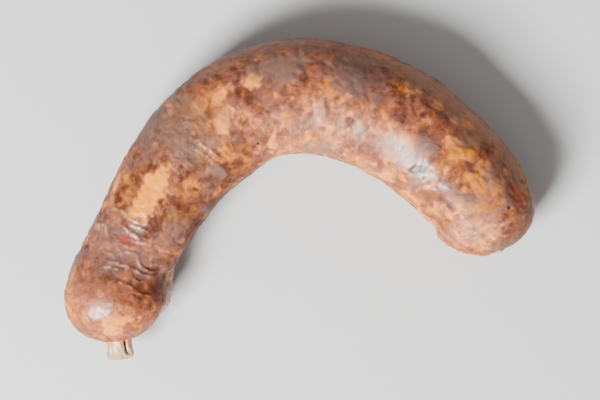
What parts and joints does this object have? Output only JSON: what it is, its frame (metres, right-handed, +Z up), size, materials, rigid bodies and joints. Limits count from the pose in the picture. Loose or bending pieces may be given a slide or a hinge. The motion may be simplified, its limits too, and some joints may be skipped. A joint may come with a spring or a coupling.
{
  "type": "fresh sausage link",
  "caption": "Fresh sausage link: coarse meat and fat in a thin moist casing, bent into a horseshoe, with a short tail of twisted-off casing. It lies flat, as on a tray, in a pan or on a grill.",
  "frame": {"origin": "on the surface that the link lies on, under the middle of its box", "axes": "+Z up; +X across the horseshoe, from the end with the casing's tail to the blunt end; -Y out of its open side"},
  "size_m": [0.1528, 0.1046, 0.0344],
  "materials": {
    "moist_casing": "moist, glossy, faintly milky natural casing; pink-brown coarse meat and cream to orange fat show through it"
  },
  "bodies": {
    "root": {"sausage_link": "moist_casing"}
  },
  "joints": []
}
